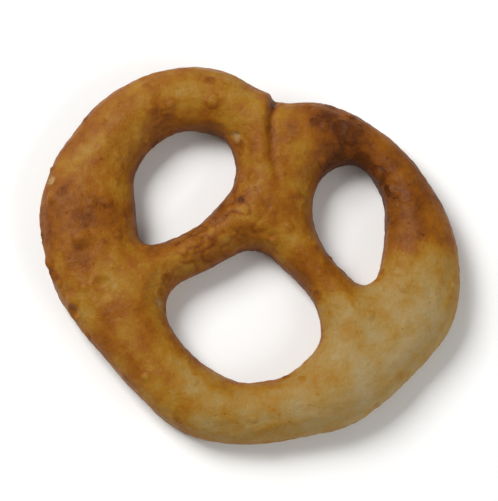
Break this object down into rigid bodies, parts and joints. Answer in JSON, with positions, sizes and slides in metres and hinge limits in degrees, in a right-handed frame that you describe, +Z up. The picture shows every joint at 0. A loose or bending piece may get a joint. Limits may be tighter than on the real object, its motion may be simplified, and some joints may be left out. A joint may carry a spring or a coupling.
{
  "type": "bublik",
  "caption": "Small oval baked ring biscuit with inner spokes that meet off-centre and rounded openings between them, a domed golden crust and a flat underside.",
  "frame": {"origin": "on the surface that the biscuit lies on, under the middle of the ring's box", "axes": "+Z up from the flat underside to the domed crust, +X along the ring's longer side, +Y towards the dip in its rim"},
  "size_m": [0.0478, 0.044, 0.0062],
  "materials": {
    "crust": "satin"
  },
  "bodies": {
    "root": {"bublik": "crust"}
  },
  "joints": []
}
